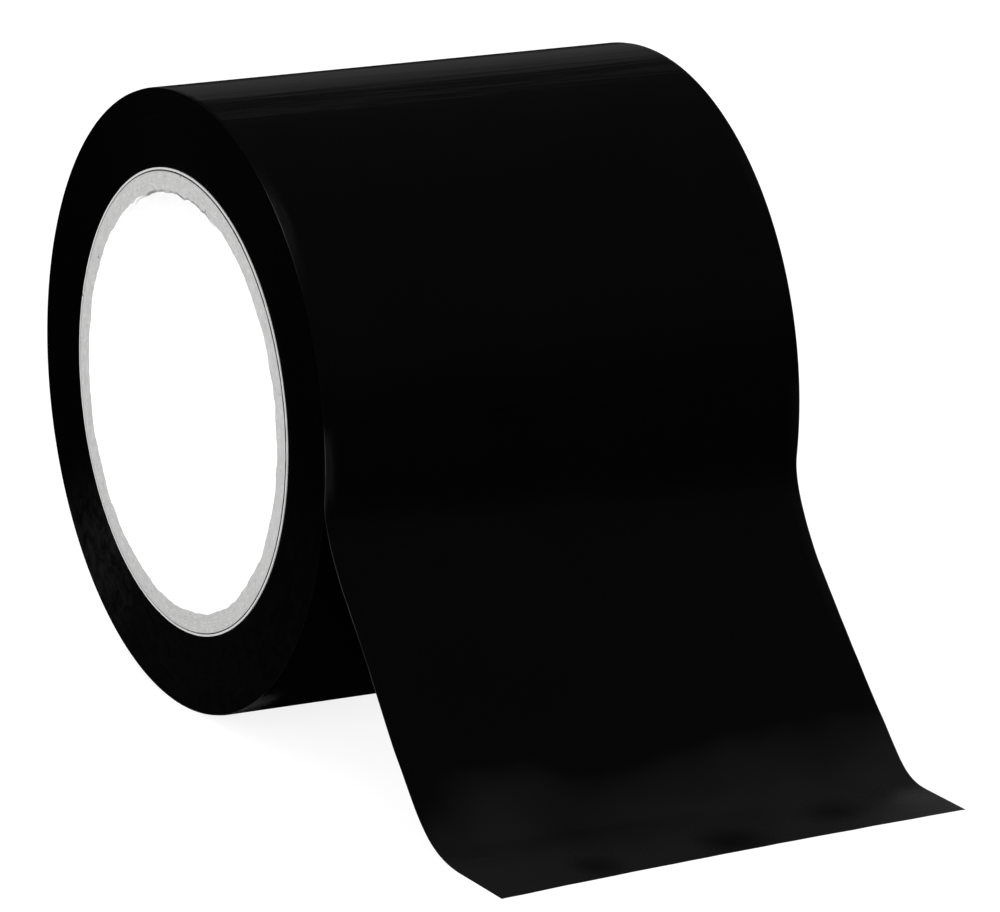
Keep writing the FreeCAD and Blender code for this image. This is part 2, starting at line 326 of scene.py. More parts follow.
def painted_edge_highlights(n, web, along, across_web, tint):
    """The tint, with painted highlights at its slit edges: painted sheen beside them, a painted
    reflection patch and painted glints on the cut.
    """
    from_middle = n.math("ABSOLUTE", across_web)
    highlight = n.ramp(n.math("DIVIDE", along, EDGE_HIGHLIGHT_SPAN), EDGE_HIGHLIGHTS)
    highlight = n.product(highlight, n.grade(across_web, -1 * MM, 1 * MM, 1.0, 0.3))
    mottle = n.noise(n.stretch(web, (160, 900, 0)), 1.0, 4.0, 0.65)

    beside_edge = n.grade(from_middle, HALF - 2.4 * MM, HALF - 0.3 * MM, 0.0, 1.0)
    on_roll = n.grade(along, *EDGE_SHEEN_STOP, 1.0, 0.0)
    far_edge = n.grade(across_web, -1 * MM, 1 * MM, 0.0, 1.0)
    sheen_here = n.math("MAXIMUM", on_roll, far_edge)
    edge_sheen = n.product(beside_edge, highlight, n.grade(mottle, 0.35, 0.65, 0.25, 1.0), sheen_here)

    from_reflection = n.math("ABSOLUTE", n.math("SUBTRACT", along, REFLECTION_PATCH_AT))
    near_reflection = n.grade(from_reflection, 10 * MM, 3 * MM, 0.0, 1.0, True)
    near_edge = n.grade(across_web, 5.5 * MM - HALF, 1.5 * MM - HALF, 0.0, 1.0, True)
    reflection = n.product(near_reflection, n.grade(mottle, 0.3, 0.6, 0.4, 1.0), near_edge)

    # painted sheen beside the slit edges, and a painted reflection patch on the outer turn's near edge
    tint = n.mix(edge_sheen, tint, PAINTED_EDGE_SHEEN)
    tint = n.mix(reflection, tint, PAINTED_REFLECTION)
    # painted glints on the slit edges' cut faces
    edge = n.grade(from_middle, HALF - 0.02 * MM, HALF - 0.01 * MM, 0.0, 1.0)
    glint_noise = n.noise(n.stretch(web, (90, 0, 0)), 1.0, 3.0, 0.6)
    glint = n.product(n.grade(glint_noise, 0.40, 0.60, 0.35, 1.0), highlight)
    return n.mix(n.product(edge, glint), tint, PAINTED_GLINT)


def film_material():
    """Smooth black plastic film.

    It has faint drawing streaks along the web and a very fine orange peel. Its slit edges carry
    painted glints, with painted sheen and a painted reflection patch beside them, and the last few
    centimetres before the cut end are rougher and carry a painted sheen, which is weaker at three
    spots.
    """
    material = bpy.data.materials.new("black_film")
    n = Nodes(material)
    web = n.web()
    parts = n.add("ShaderNodeSeparateXYZ", Vector=web)
    along, across_web, to_end = parts.outputs["X"], parts.outputs["Y"], parts.outputs["Z"]
    streaks = n.noise(n.stretch(web, (18, 420, 0)), 1.0, 4.0, 0.55)
    bars = n.noise(n.stretch(web, (240, 13, 0)), 1.0, 3.0, 0.55, 0.6)
    blotch = n.noise(n.stretch(web, (60, 45, 0)), 1.0, 3.0, 0.5, 0.4)
    peel = n.noise(n.stretch(web, (1, 1, 0)), 2600, 2.0)
    scuff = n.noise(n.stretch(web, (900, 240, 0)), 1.0, 5.0, 0.7)
    wander = n.noise(n.stretch(web, (26, 26, 0)), 1.0, 2.0)
    wander = n.grade(wander, 0.3, 0.7, -7 * MM, 7 * MM)

    haze_and_sheen = haze_and_painted_sheen(n, to_end, across_web, wander, blotch)
    # painted sheen near the cut end, and a stronger one at the far corner
    tint = n.mix(haze_and_sheen, n.mix(blotch, FILM_DARK, FILM_PALE), PAINTED_SHEEN)
    tint = n.mix(corner_sheen(n, to_end, across_web, wander), tint, PAINTED_SHEEN_CORNER)
    n.put(n.shader.inputs["Base Color"], painted_edge_highlights(n, web, along, across_web, tint))

    rough = n.grade(streaks, 0.3, 0.7, 0.09, 0.12)
    rough = n.math("ADD", rough, n.grade(blotch, 0.3, 0.7, -0.01, 0.02))
    rough = n.math("ADD", rough, n.math("MULTIPLY", haze_and_sheen, 0.18))
    rough = n.math("ADD", rough, n.grade(scuff, 0.45, 0.8, 0.0, 0.05))
    n.put(n.shader.inputs["Roughness"], rough)
    n.shader.inputs["IOR"].default_value = 1.5
    normal = n.bump(streaks, 0.08, 0.03 * MM)
    normal = n.bump(bars, 0.40, 0.35 * MM, normal)
    normal = n.bump(blotch, 0.25, 0.20 * MM, normal)
    n.put(n.shader.inputs["Normal"], n.bump(peel, 0.10, 0.03 * MM, normal))
    return material


# How strong the painted sheen on the wound ends is, by share of a turn from the direction -X through
# -Z.
ENDS_SHEEN_SECTOR = (
    (0.070, 0.00),
    (0.100, 0.45),
    (0.125, 1.00),
    (0.150, 0.80),
    (0.185, 0.25),
    (0.270, 0.15),
    (0.450, 0.12),
    (0.500, 0.00),
)
EDGE_BLACK = grey(0.0001, 0.00012)
EDGE_PALE = grey(0.0004, 0.00045)
# painted sheen on the wound ends
ENDS_SHEEN = grey(0.0062, 0.0064)
EDGE_GRAIN = 3.5 * MM  # what a radian round the roll counts for in the wound ends' noise


def edge_material():
    """The slit edges of many turns: dull black, finely grooved round the roll by each turn.

    The grooves spread its highlights out along the radius, which gives the fan of sheen that any
    wound end shows. One sector carries a painted sheen on top of that.
    """
    material = bpy.data.materials.new("slit_edges")
    n = Nodes(material)
    radius, angle, _ = n.round_the_roll()
    ring_place = n.combine(radius, n.math("MULTIPLY", angle, EDGE_GRAIN), 0.0)
    turns = n.noise(n.stretch(ring_place, (7600, 300, 1)), 1.0, 2.0, 0.6)
    bands = n.noise(n.stretch(ring_place, (700, 90, 1)), 1.0, 4.0, 0.6)
    grain = n.noise(n.place(), 4200, 3.0)
    shade = n.product(n.grade(turns, 0.3, 0.7, 0.4, 1.6), n.grade(bands, 0.3, 0.7, 0.7, 1.3))
    black = n.mix(shade, EDGE_BLACK, EDGE_PALE)
    turn = n.math("ADD", n.math("DIVIDE", angle, 2 * math.pi), 0.5)
    sector = n.ramp(turn, ENDS_SHEEN_SECTOR)
    # painted sheen over one sector of the wound ends, mottled by noise
    ends_sheen_mask = n.noise(n.stretch(ring_place, (420, 6000, 1)), 1.0, 5.0, 0.65, 0.4)
    ends_sheen_mask = n.product(n.grade(ends_sheen_mask, 0.38, 0.66, 0.25, 1.3), sector)
    n.put(n.shader.inputs["Base Color"], n.mix(ends_sheen_mask, black, ENDS_SHEEN))
    n.put(n.shader.inputs["Roughness"], n.grade(bands, 0.3, 0.7, 0.34, 0.46))
    n.shader.inputs["Specular IOR Level"].default_value = 0.08
    n.shader.inputs["Anisotropic"].default_value = 0.85
    n.shader.inputs["Anisotropic Rotation"].default_value = 0.25
    tangent = n.tree.nodes.new("ShaderNodeTangent")
    tangent.direction_type = "RADIAL"
    tangent.axis = "Y"
    n.put(n.shader.inputs["Tangent"], tangent.outputs["Tangent"])
    lines = n.bump(turns, 0.25, 0.04 * MM)
    n.put(n.shader.inputs["Normal"], n.bump(grain, 0.15, 0.02 * MM, lines))
    return material


def adhesive_material():
    """A tacky black rubber coat, with the fine legs it was pulled into as it peeled."""
    material = bpy.data.materials.new("adhesive_coat")
    n = Nodes(material)
    web = n.web()
    legs = n.noise(n.stretch(web, (1400, 700, 0)), 1.0, 4.0, 0.6)
    patches = n.noise(n.stretch(web, (1, 1, 0)), 90, 3.0)
    colour = n.mix(patches, grey(0.0030, 0.0032), grey(0.0070, 0.0075))
    n.put(n.shader.inputs["Base Color"], colour)
    n.put(n.shader.inputs["Roughness"], n.grade(legs, 0.3, 0.7, 0.32, 0.6))
    n.shader.inputs["Specular IOR Level"].default_value = 0.4
    n.put(n.shader.inputs["Normal"], n.bump(legs, 0.5, 0.06 * MM))
    return material


BOARD_GREY = 0.36
BOARD_GRAIN = 40 * MM  # what a radian round the roll counts for in the board's noise: about the bore
# a dark line round the board's outer edge, widened on one side into a painted shadow
DARK_LINE_AND_SHADOW = (0.026, 0.025, 0.024, 1)
SHADOW_SIDE = math.radians(30)  # where round the core the painted shadow is widest
SHADOW_WIDTH = 0.20 * MM  # how much wider the painted shadow makes the dark line there


def board_material(number, dark_line_from=None):
    """Grey chipboard, cut clean: soft pulp clouds, a few pale tufts and a few dark specks.

    Past the given radius a dark line runs all round, and on one side it widens into a painted shadow.
    """
    material = bpy.data.materials.new(f"chipboard_{number}")
    n = Nodes(material)
    radius, angle, along = n.round_the_roll()
    ring_place = n.combine(radius, n.math("MULTIPLY", angle, BOARD_GRAIN), along)
    fibre = n.noise(n.stretch(ring_place, (1900, 650, 1300)), 1.0, 4.0, 0.6, 0.4)
    pulp = n.noise(n.place(), 520, 4.0, 0.6)
    tufts = n.noise(n.stretch(ring_place, (1700, 1000, 1700)), 1.0, 2.0, 0.5, 0.5)
    flecks = n.noise(n.stretch(ring_place, (2200, 900, 2200)), 1.0, 2.0)
    shift = (number * 37 % 11) / 11.0 - 0.5  # each ply's paper is a little different
    light = BOARD_GREY * (1.04 + 0.012 * shift)
    dark = BOARD_GREY * (0.93 + 0.012 * shift)
    pale = grey(BOARD_GREY * 1.25)
    dull = grey(BOARD_GREY * 0.62, BOARD_GREY * 0.62 * 0.98)
    colour = n.mix(
        n.grade(fibre, 0.3, 0.7, 0.0, 1.0),
        grey(dark, dark * 0.995),
        grey(light, light * 0.99),
    )
    colour = n.mix(n.grade(pulp, 0.45, 0.75, 0.0, 0.45), colour, pale)
    colour = n.mix(n.grade(tufts, 0.58, 0.68, 0.0, 0.75), colour, pale)
    colour = n.mix(n.ramp(flecks, ((0.0, 0.0), (0.67, 0.0), (0.75, 0.8))), colour, dull)
    # a dark line near the outer edge, widened on one side into a painted shadow
    if dark_line_from is not None:
        more = n.math("COSINE", n.math("SUBTRACT", angle, SHADOW_SIDE))
        edge = n.grade(more, 0.0, 1.0, dark_line_from, dark_line_from - SHADOW_WIDTH)
        apart = n.math("SUBTRACT", radius, edge)
        colour = n.mix(n.grade(apart, -0.12 * MM, 0.06 * MM, 0.0, 1.0), colour, DARK_LINE_AND_SHADOW)
    n.put(n.shader.inputs["Base Color"], colour)
    n.shader.inputs["Roughness"].default_value = 0.95
    n.shader.inputs["Specular IOR Level"].default_value = 0.1
    rough = n.bump(fibre, 0.20, 0.08 * MM)
    n.put(n.shader.inputs["Normal"], n.bump(pulp, 0.4, 0.12 * MM, rough))
    return material


def shaded_lip(n, lip_shade):
    """Where the liner's cut lips carry painted shade: along the top of the tube, in patches."""
    _, angle, along = n.round_the_roll()
    from_middle = n.math("ABSOLUTE", along)
    at_end = n.grade(from_middle, CORE_HALF - 0.80 * MM, CORE_HALF - 0.50 * MM, 0.0, 1.0)
    upward = n.math("SINE", n.math("SUBTRACT", angle, 0.05))
    on_top = n.grade(upward, 0.86, 0.97, 0.0, lip_shade, True)
    return n.product(at_end, on_top, n.grade(n.noise(n.place(), 300, 3.0), 0.3, 0.55, 0.75, 1.0))


def liner_material(name, dark, light, lip_shade=0.0):
    """Smooth paper, with a faint formation and fibres, and painted shade this strong on its cut lips.
    """
    material = bpy.data.materials.new(name)
    n = Nodes(material)
    place = n.place()
    cloud = n.noise(place, 160, 4.0, 0.6)
    fibre = n.noise(n.stretch(place, (2600, 900, 2600)), 1.0, 4.0, 0.6, 0.5)
    colour = n.mix(cloud, grey(dark), grey(light))
    if lip_shade:
        # painted shade on the cut lips along the top of the tube
        colour = n.mix(shaded_lip(n, lip_shade), colour, (0.09, 0.088, 0.085, 1))
    n.put(n.shader.inputs["Base Color"], colour)
    n.put(n.shader.inputs["Roughness"], n.grade(fibre, 0.3, 0.7, 0.55, 0.75))
    n.shader.inputs["Specular IOR Level"].default_value = 0.3
    n.put(n.shader.inputs["Normal"], n.bump(fibre, 0.2, 0.04 * MM))
    return material


film = film_material()
slit_edges = edge_material()
coat = adhesive_material()
white_paper = liner_material("white_liner", 0.93, 0.965, 0.9)
pale_paper = liner_material("pale_liner", 0.42, 0.49)

# ---------------------------------------------------------------- core
SEAM_PITCH = 109 * MM
SEAM_GAP = 0.1 * MM
SEAM_STEP = 75.0  # degrees from one layer's seam to the next
SLICE = 1.0  # degrees
END_DEPTHS = np.array([0.25, 0.7, 1.6, 4.0]) * MM  # extra loops near each end of a strip
DEEPEST = 0.45 * MM  # most that a cut end is set back
BEVEL_WIDTH = 0.18 * MM
SLIGHT = 0.01 * MM  # depth of the bevel on every cut corner
RAGGED = 0.03 * MM  # how uneven a cut end is
GROOVE = 0.26 * MM  # depth of the groove round the outer liner
SQUEEZE = 0.20 * MM  # how far the knife pushed the bore's edge in and out
SQUEEZE_REACH = 1.3 * MM  # over which that dies away, outwards and along the tube
SCALLOPED = 0.9  # share of that in long scallops
NIBBLED = 0.45  # and in short nibbles
scallops = Waves(81, (6.5 * MM, 6.5 * MM, 1.0), 24)
nibbles = Waves(82, (2.4 * MM, 2.4 * MM, 1.0), 24)


def squeezed(radius, angle, end, depth):
    """A radius near the bore's cut edge, which the knife left a little scalloped."""
    x = BORE_R * np.cos(angle)
    z = BORE_R * np.sin(angle)
    fade = np.exp(-(radius - BORE_R) / SQUEEZE_REACH) * np.exp(-depth / SQUEEZE_REACH)
    push = np.clip(SCALLOPED * scallops(x, z, end) + NIBBLED * nibbles(x, z, end), -1.6, 1.6)
    return radius + SQUEEZE * fade * push


def core_strip(node, inner, outer, number, material, outer_bevel):
    """One spiral-wound strip of the core.

    Unrolled, the strip is a band between two helical edges, cut off by the ends of the tube. It is
    built as slices from the corner where it starts at one end to the corner where it runs out at
    the other, each slice a loop round its section. Its cut ends are slightly ragged, with a slight
    bevel at their inner corner, and one of outer_bevel at their outer corner.
    """
    length = 2 * CORE_HALF
    climb = SEAM_PITCH / 360.0
    last = 360.0 + (length + SEAM_GAP) / climb
    first = SEAM_GAP * 1.2 / climb
    count = int(round((last - first) / SLICE))
    turned = np.linspace(first, last - first * 0.2, count + 1)
    low = np.clip((turned - 360.0) * climb, 0, length)
    high = np.clip(turned * climb - SEAM_GAP, 0, length)
    angle = np.radians(turned + number * SEAM_STEP)
    rim = min(BEVEL_WIDTH, 0.3 * (outer - inner))
    radii = np.concatenate([[inner], np.linspace(inner + rim, outer - rim, 4), [outer]])
    bevels = np.zeros(len(radii))
    bevels[0] = SLIGHT
    bevels[-1] = outer_bevel
    wobble = Waves(40 + number, (2.6 * MM, 2.6 * MM, 0.5 * MM), 36)
    sway = Waves(70 + number, (24 * MM, 24 * MM, 9.0), 10)
    room = np.minimum(1, (high - low) / (2.5 * END_DEPTHS[-1]))
    rings = []

    def add(radius, depth, end):
        """One corner of the loops: a radius, and how far in from this end of the tube."""
        level = depth if end < 0 else length - depth
        r = squeezed(radius, angle, end, depth)
        rings.append(np.stack([r * np.cos(angle), level - CORE_HALF, r * np.sin(angle)], 1))

    def cut_face(end):
        """Across one cut end: outwards at the near end of the tube, inwards at the far one."""
        base = low if end < 0 else length - high
        for radius, bevel in list(zip(radii, bevels))[:: -end]:
            x, z = radius * np.cos(angle), radius * np.sin(angle)
            lift = RAGGED * (0.7 * wobble(x, z, radius) + 0.5 * sway(x, z, end))
            inset = np.clip(np.abs(lift) * 0.8 + bevel, 0, DEEPEST) * room
            add(radius, base + np.where(base <= 0, inset, 0), end)

    def side(radius, toward):
        """Along one face of the strip, away from the end just cut and up to the other one."""
        for step in END_DEPTHS:
            base = low if toward > 0 else length - high
            add(radius, base + (DEEPEST + step) * room, -toward)
        for step in END_DEPTHS[::-1]:
            base = length - high if toward > 0 else low
            add(radius, base + (DEEPEST + step) * room, toward)

    cut_face(-1)
    side(outer, 1)
    cut_face(1)
    side(inner, -1)
    loops = np.stack(rings, 1)
    points = loops.reshape(-1, 3)
    around = loops.shape[1]
    index = np.arange(len(points)).reshape(-1, around)
    ahead = np.roll(index, -1, axis=1)
    quads = np.stack([index[:-1], ahead[:-1], ahead[1:], index[1:]], -1).reshape(-1, 4).tolist()
    quads.append(index[0][::-1].tolist())
    quads.append(index[-1].tolist())
    obj = make_object(f"{node}_strip", points, quads, material, sharp_angle=38)
    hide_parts(node)
    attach(obj, "roll")


def build_core():
    """The strips in order from the bore outwards, with a groove where the outer liner starts."""
    plies = [f"core_ply_{k}" for k in range(1, 7)]
    order = ["core_inner_liner"] + plies + ["core_outer_liner"]
    inner = BORE_R
    for number, node in enumerate(order):
        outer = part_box(node)[1].z
        last_ply = node == plies[-1]
        bevel = GROOVE if last_ply else SLIGHT
        if node in plies:
            board = board_material(number, outer - BEVEL_WIDTH if last_ply else None)
            core_strip(node, inner, outer, number, board, bevel)
        else:
            paper = white_paper if node == order[0] else pale_paper
            core_strip(node, inner, outer, number, paper, bevel)
        inner = outer + GLUE_LINE


build_core()

# ---------------------------------------------------------------- wound tape
TURNS = 110
TURN_STEP = 0.015 * MM  # how far every other turn sits back
TURN_STRAY = 0.012 * MM  # and how far each strays from that
TURN_DEEPEST = 0.09 * MM  # the most that one sits back
END_DRIFT = 0.014 * MM  # slow waves over the wound ends


def wound_tape():
    """The turns under the outermost one: a ring whose ends show each turn's slit edge.

    Each turn sits a few hundredths of a millimetre proud of or shy of the next. The last one gives
    way to the curled edges of the outermost turn.
    """
    around = 360
    radii = np.linspace(CORE_R + GLUE_LINE, WOUND_R, TURNS + 1)
    angle = np.linspace(0, 2 * np.pi, around, endpoint=False)
    draw = np.random.RandomState(11)
    step = draw.normal(0, TURN_STRAY, TURNS + 1)
    step[::2] += TURN_STEP
    drift = Waves(5, (16 * MM, 16 * MM, 2.4 * MM), 16)
    r, a = np.meshgrid(radii, angle, indexing="ij")
    x, z = r * np.cos(a), r * np.sin(a)
    rounding = np.where(radii < WOUND_R - WEB_T / 2, 0, EDGE_WIDTH)[:, None]
    faces_y = []
    for end in (-1, 1):
        depth = step[:, None] + END_DRIFT * (1 + drift(x, z, r + end * HALF))
        faces_y.append(end * (HALF - np.clip(depth, 0, TURN_DEEPEST) - rounding))
    near = np.stack([x, faces_y[0], z], -1)
    far = np.stack([x, faces_y[1], z], -1)
    loop = np.concatenate([near, far[::-1]])
    index = np.arange(loop.shape[0] * around).reshape(-1, around)
    down = np.roll(index, -1, axis=0)
    quads = np.stack([index, down, np.roll(down, -1, 1), np.roll(index, -1, 1)], -1)
    points = loop.reshape(-1, 3)
    faces = quads.reshape(-1, 4).tolist()
    obj = make_object("wound_turns", points, faces, slit_edges, sharp_angle=60)
    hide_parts("wound_tape")
    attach(obj, "roll")


wound_tape()

# ---------------------------------------------------------------- the web
# Every sheet of the web carries a "web" attribute: the place along it, the place across it and the
# distance to its cut end.
#
# The free end isn't quite square to the roll: it peels earlier at the near edge (y < 0), where its
# slope is steeper and its bends are slacker. Each of these runs from the near edge to the far one.
PEEL_AT = (-4.3, -7.4)  # degrees up from +X
SLOPE = (-49.5, -44.5)  # degrees
SLACK = (5.2 * MM, 7.7 * MM)  # length over which the bend at the peel line dies away
FOOT_BEND = (31.9 * MM, 16.3 * MM)  # length of the bend down to the foot
FOOT_END = (122.5 * MM, 116.0 * MM)  # x of the cut end
END_BOW = 0.9 * MM  # how far the cut end is hollowed between its corners
END_RAGGED = 0.03 * MM
RIPPLE = 0.16 * MM  # how wavy the free web is, and its finer waves
FINE_RIPPLE = 0.04 * MM
WAVY_FROM = 16 * MM  # how far past the peel line it is at its waviest
WAVY_ABOVE = 9 * MM  # and how high above the ground
COLUMNS = 129
FINE = 0.1 * MM  # step along the path
PANEL_STEP = 0.8 * MM  # step along a panel's mesh
SEAM_STEP_IN = 0.03 * MM  # its first and last step

EDGE_COLUMNS = np.array([0.08, 0.18, 0.32, 0.5]) * MM  # extra columns at each slit edge
inner_line = np.linspace(-HALF, HALF, COLUMNS - 2 * len(EDGE_COLUMNS))
y_line = np.sort(np.concatenate([inner_line, EDGE_COLUMNS - HALF, HALF - EDGE_COLUMNS]))
edge_curl = EDGE_DROP * smooth(1 - (HALF - np.abs(y_line)) / EDGE_WIDTH)
share = (y_line + HALF) / (2 * HALF)


def across(pair):
    """A value for each column, from the near edge's to the far edge's."""
    return pair[0] + (pair[1] - pair[0]) * share


def free_end():
    """The film surface's path for each column, from the top of the peeling panels to the cut end.

    It follows the roll to the peel line, lifts off with a bend that dies away, runs straight down
    and lies flat on the ground. The slope's length is what brings the foot to the ground.
    """
    top = math.radians(hinge_angle("peel_upper"))
    peel = np.radians(across(PEEL_AT))
    slope = np.radians(across(SLOPE))
    slack = across(SLACK)
    bend = across(FOOT_BEND)
    start = peel - math.pi / 2
    slope_run = np.full(COLUMNS, 50 * MM)
    on_roll = (top - peel) * ROLL_R
    total = float((on_roll + slope_run + bend).max()) + 45 * MM
    s = np.arange(0, total, FINE)[:, None]
    still = np.zeros((1, COLUMNS))
    for _ in range(4):
        past = s - on_roll
        lifted = start + (slope - start) * (1 - np.exp(-np.maximum(past, 0) / slack))
        turned = np.clip((past - slope_run) / bend, 0, 1)
        eased = turned - np.sin(2 * np.pi * turned) / (2 * np.pi)
        heading = np.where(past < 0, top - math.pi / 2 - s / ROLL_R, lifted * (1 - eased))
        middle = (heading[1:] + heading[:-1]) / 2
        ahead = np.concatenate([still, np.cumsum(np.cos(middle), 0)])
        climb = np.concatenate([still, np.cumsum(np.sin(middle), 0)])
        x = ROLL_R * math.cos(top) + ahead * FINE
        z = ROLL_R * math.sin(top) + climb * FINE
        slope_run = slope_run + (z[-1] - FLOOR_Z - WEB_T) / np.sin(-slope)
    return s[:, 0], x, z, heading, on_roll


PATH_S, PATH_X, PATH_Z, PATH_H, ON_ROLL = free_end()


def station(column_values):
    """Path values at one arc length in each column: x, z, heading."""
    result = []
    for table in (PATH_X, PATH_Z, PATH_H):
        found = [np.interp(column_values[k], PATH_S, table[:, k]) for k in range(COLUMNS)]
        result.append(np.array(found))
    return result


CROSSED_ALONG = math.radians(-46)  # the direction the slope crosses its hinges' planes in
WELL_ON_ROLL = 60 * MM  # the path up to here is still on the roll


def arc_at_hinge(child):
    """The arc length in each column where the path crosses a hinge's plane."""
    pivot = hinges[child]
    on_slope = child in ("tail_lower", "tail_foot")
    if not on_slope:
        top = hinge_angle("peel_upper")
        return np.full(COLUMNS, math.radians(top - hinge_angle(child)) * ROLL_R)
    normal = Vector((math.cos(CROSSED_ALONG), 0, math.sin(CROSSED_ALONG)))
    found = []
    for k in range(COLUMNS):
        side = (PATH_X[:, k] - pivot.x) * normal.x + (PATH_Z[:, k] - pivot.z) * normal.z
        side[: int(WELL_ON_ROLL / FINE)] = -1
        first = int(np.argmax(side > 0))
        part = side[first] / (side[first] - side[first - 1])
        found.append(PATH_S[first] - part * FINE)
    return np.array(found)


def end_of_web():
    """The arc length in each column of the cut end, which was cut by hand and isn't quite straight."""
    nibble = Waves(31, (9 * MM,), 8)
    bow = END_BOW * 4 * share * (1 - share)
    target = across(FOOT_END) - bow + END_RAGGED * nibble(y_line)
    return np.array([np.interp(target[k], PATH_X[:, k], PATH_S) for k in range(COLUMNS)])


ripple = Waves(21, (38 * MM, 52 * MM), 12)
fine_ripple = Waves(22, (9 * MM, 30 * MM), 12)


def rows_between(start, end):
    """Even stations from start to end in every column, with a very short first and last step."""
    span = float(np.max(end - start))
    count = max(6, int(math.ceil(span / PANEL_STEP)))
    shares = np.linspace(0, 1, count + 1)
    shares = np.insert(shares, 1, SEAM_STEP_IN / span)
    shares = np.insert(shares, -1, 1 - SEAM_STEP_IN / span)
    return start[None, :] + (end - start)[None, :] * shares[:, None]


def web_layer(stations, depth):
    """The surface of the web at a depth under the film's outside, as a grid of points."""
    grid = np.zeros((len(stations), COLUMNS, 3))
    for row, arc in enumerate(stations):
        x, z, heading = station(arc)
        off_roll = smooth((arc - ON_ROLL) / WAVY_FROM)
        off_floor = smooth((z - FLOOR_Z - WEB_T) / WAVY_ABOVE + 0.15)
        wavy = RIPPLE * ripple(arc, y_line) + FINE_RIPPLE * fine_ripple(arc, y_line)
        out = off_roll * off_floor * wavy - depth - edge_curl
        grid[row, :, 0] = x - np.sin(heading) * out
        grid[row, :, 1] = y_line
        grid[row, :, 2] = z + np.cos(heading) * out
    return grid


PANELS = (
    ("peel_upper", "roll"),
    ("peel_middle", "peel_upper"),
    ("peel_lower", "peel_middle"),
    ("tail_upper", "peel_lower"),
    ("tail_lower", "tail_upper"),
    ("tail_foot", "tail_lower"),
)
LAYERS = (
    ("film", 0.0, FILM_T, film, "tape_film"),
    ("adhesive", FILM_T, WEB_T, coat, "adhesive"),
)


def build_panels():
    """Film and adhesive of each panel, from its hinge to the next one or to the cut end."""
    starts = [arc_at_hinge(name) for name, _ in PANELS] + [end_of_web()]
    for place, (name, parent) in enumerate(PANELS):
        stations = rows_between(starts[place], starts[place + 1])
        web = np.zeros((len(stations), COLUMNS, 3))
        web[:, :, 0] = stations
        web[:, :, 1] = y_line[None, :]
        web[:, :, 2] = starts[-1][None, :] - stations
        for layer, upper, lower, material, slot_name in LAYERS:
            top = web_layer(stations, upper)
            bottom = web_layer(stations, lower)
            points, quads = sheet_solid(top, bottom)
            both = np.concatenate([web.reshape(-1, 3)] * 2)
            obj = make_object(f"{name}_{layer}_sheet", points, quads, material, both)
            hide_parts(f"{name}_{layer}")
            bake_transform(obj)


HIDDEN_END = 356.5  # degrees round the roll where the outer turn ends, under the peel line
ARC_STEP = 0.9  # degrees
ARC_SWEPT = 4.7  # radians it covers, about
DIVES_FROM = 330.0  # degrees from which it dives under the peeled web
DIVES_OVER = 22.0  # and over how many
DIVE = WEB_T + 0.012 * MM  # how deep
FILM_SHARE = 0.65  # of the film in the web where it is thinned


def outer_turn():
    """The rest of the outermost turn: round the back of the roll to under the peel line."""
    top = hinge_angle("peel_upper")
    count = int((HIDDEN_END - top) / ARC_STEP)
    turned = np.linspace(0, 1, count + 1)
    turned = np.insert(turned, 1, SEAM_STEP_IN / (ROLL_R * ARC_SWEPT))
    degrees = top + (HIDDEN_END - top) * turned
    radius = ROLL_R - DIVE * smooth((degrees - DIVES_FROM) / DIVES_OVER)
    y = y_line[None, :]
    web = np.zeros((len(degrees), COLUMNS, 3))
    web[:, :, 0] = (-np.radians(degrees - top) * ROLL_R)[:, None]
    web[:, :, 1] = y
    web[:, :, 2] = ON_ROLL.mean() - web[:, :, 0]
    a = np.radians(degrees)[:, None]
    room = radius[:, None] - WOUND_R - 0.002 * MM
    # Near its hidden end the web thins out against the turn below.
    film_bottom = np.minimum(FILM_T, FILM_SHARE * room)
    bottoms = {0.0: 0.0, FILM_T: film_bottom, WEB_T: np.minimum(WEB_T, room)}
    for layer, upper, lower, material, slot_name in LAYERS:
        grids = []
        for depth in (upper, lower):
            r = radius[:, None] - bottoms[depth] - edge_curl[None, :]
            grids.append(np.stack([r * np.cos(a) + 0 * y, 0 * a + y, r * np.sin(a) + 0 * y], -1))
        points, quads = sheet_solid(grids[1], grids[0])
        both = np.concatenate([web.reshape(-1, 3)] * 2)
        obj = make_object(f"outer_turn_{layer}_sheet", points, quads, material, both)
        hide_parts(f"outer_turn_{layer}")
        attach(obj, "roll")


build_panels()
outer_turn()


# ---------------------------------------------------------------- stage
WHITE = grey(1)
FLOOR_PALE = grey(0.95)
FLOOR_GLOW = 0.86  # the part of the floor's white that shadows don't darken
FLOOR_SHADED = grey(0.22)  # the rest of it
FLOOR_IN_REFLECTIONS = grey(0.008)


def floor_material():
    """A pale matt surface that keeps only a faint shadow, and that glossy film sees as dark."""
    material = bpy.data.materials.new("floor")
    n = Nodes(material)
    path = n.add("ShaderNodeLightPath")
    seen = n.mix(path.outputs["Is Camera Ray"], FLOOR_PALE, FLOOR_SHADED)
    colour = n.mix(path.outputs["Is Glossy Ray"], seen, FLOOR_IN_REFLECTIONS)
    n.put(n.shader.inputs["Base Color"], colour)
    n.shader.inputs["Emission Color"].default_value = WHITE
    glow = n.math("MULTIPLY", path.outputs["Is Camera Ray"], FLOOR_GLOW)
    n.put(n.shader.inputs["Emission Strength"], glow)
    n.shader.inputs["Roughness"].default_value = 0.9
    n.shader.inputs["Specular IOR Level"].default_value = 0.0
    return material


